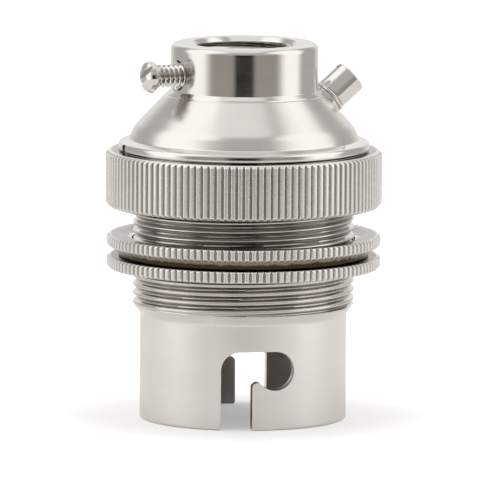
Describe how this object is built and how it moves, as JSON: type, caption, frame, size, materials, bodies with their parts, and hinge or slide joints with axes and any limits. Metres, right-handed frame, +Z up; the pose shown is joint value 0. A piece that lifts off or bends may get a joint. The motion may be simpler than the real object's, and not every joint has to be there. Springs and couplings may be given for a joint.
{
  "type": "lamp holder",
  "caption": "Metal bayonet lamp holder with slotted skirt, knurled shade rings, knurled union ring, domed cap with threaded entry and sprung contacts inside.",
  "frame": {"origin": "centre of the barrel's mouth, on the surface that the holder stands on", "axes": "+Z up along the holder's axis, from the lamp mouth to the rod entry; -Y to the front, where one bayonet slot is; the contact plungers lie along X"},
  "size_m": [0.0346, 0.0346, 0.0473],
  "materials": {
    "nickel_plate": "satin nickel plate on brass",
    "nickel_knurl": "nickel plate, knurled",
    "screw_nickel": "polished nickel plate",
    "contact_brass": "turned brass",
    "spring_steel": "bright drawn wire",
    "black_moulding": "pressed thermosetting resin"
  },
  "bodies": {
    "barrel_group": {"barrel": "nickel_plate", "moulding_base": "black_moulding", "moulding_cover": "black_moulding", "cover_screws": "contact_brass", "terminal_left": "contact_brass", "terminal_right": "contact_brass", "plunger_spring_left": "spring_steel", "plunger_spring_right": "spring_steel"},
    "union_ring": {"union_ring": "nickel_knurl"},
    "cap_group": {"cap": "nickel_plate", "earth_washer": "screw_nickel"},
    "rod_locking_screw": {"rod_locking_screw": "screw_nickel"},
    "earth_terminal_screw": {"earth_terminal_screw": "screw_nickel"},
    "upper_shade_ring": {"upper_shade_ring": "nickel_knurl"},
    "lower_shade_ring": {"lower_shade_ring": "nickel_knurl"},
    "contact_plunger_left": {"contact_plunger_left": "contact_brass"},
    "contact_plunger_right": {"contact_plunger_right": "contact_brass"},
    "terminal_screw_left": {"terminal_screw_left": "contact_brass"},
    "terminal_screw_right": {"terminal_screw_right": "contact_brass"}
  },
  "joints": [
    {"name": "union_ring_turn", "type": "hinge", "parent": "barrel_group", "child": "union_ring", "pos_m": [0, 0, 0.0303], "axis": [0, 0, 1], "range_deg": [-1170, 0]},
    {"name": "cap_lift", "type": "slide", "parent": "barrel_group", "child": "cap_group", "axis": [0, 0, 1], "range_m": [0, 0.0036]},
    {"name": "rod_locking_screw_travel", "type": "slide", "parent": "cap_group", "child": "rod_locking_screw", "axis": [0.8988, 0.4384, 0], "range_m": [0, 0.0032]},
    {"name": "earth_screw_travel", "type": "slide", "parent": "cap_group", "child": "earth_terminal_screw", "axis": [0.71, 0.3161, 0.6293], "range_m": [0, 0.0025]},
    {"name": "upper_shade_ring_travel", "type": "slide", "parent": "barrel_group", "child": "upper_shade_ring", "axis": [0, 0, 1], "range_m": [0, 0.0034]},
    {"name": "lower_shade_ring_travel", "type": "slide", "parent": "barrel_group", "child": "lower_shade_ring", "axis": [0, 0, 1], "range_m": [-0.004, 0]},
    {"name": "contact_left_press", "type": "slide", "parent": "barrel_group", "child": "contact_plunger_left", "axis": [0, 0, 1], "range_m": [0, 0.0026], "stiffness_N_per_m": 1000, "springref_m": -0.001, "deforming": ["plunger_spring_left"]},
    {"name": "contact_right_press", "type": "slide", "parent": "barrel_group", "child": "contact_plunger_right", "axis": [0, 0, 1], "range_m": [0, 0.0026], "stiffness_N_per_m": 1000, "springref_m": -0.001, "deforming": ["plunger_spring_right"]},
    {"name": "terminal_screw_left_travel", "type": "slide", "parent": "barrel_group", "child": "terminal_screw_left", "axis": [0, 0, 1], "range_m": [0, 0.0015]},
    {"name": "terminal_screw_right_travel", "type": "slide", "parent": "barrel_group", "child": "terminal_screw_right", "axis": [0, 0, 1], "range_m": [0, 0.0015]}
  ],
  "couplings": [
    {"joint": "cap_lift", "follows": "union_ring_turn", "m_per_rad": -0.00017507}
  ]
}
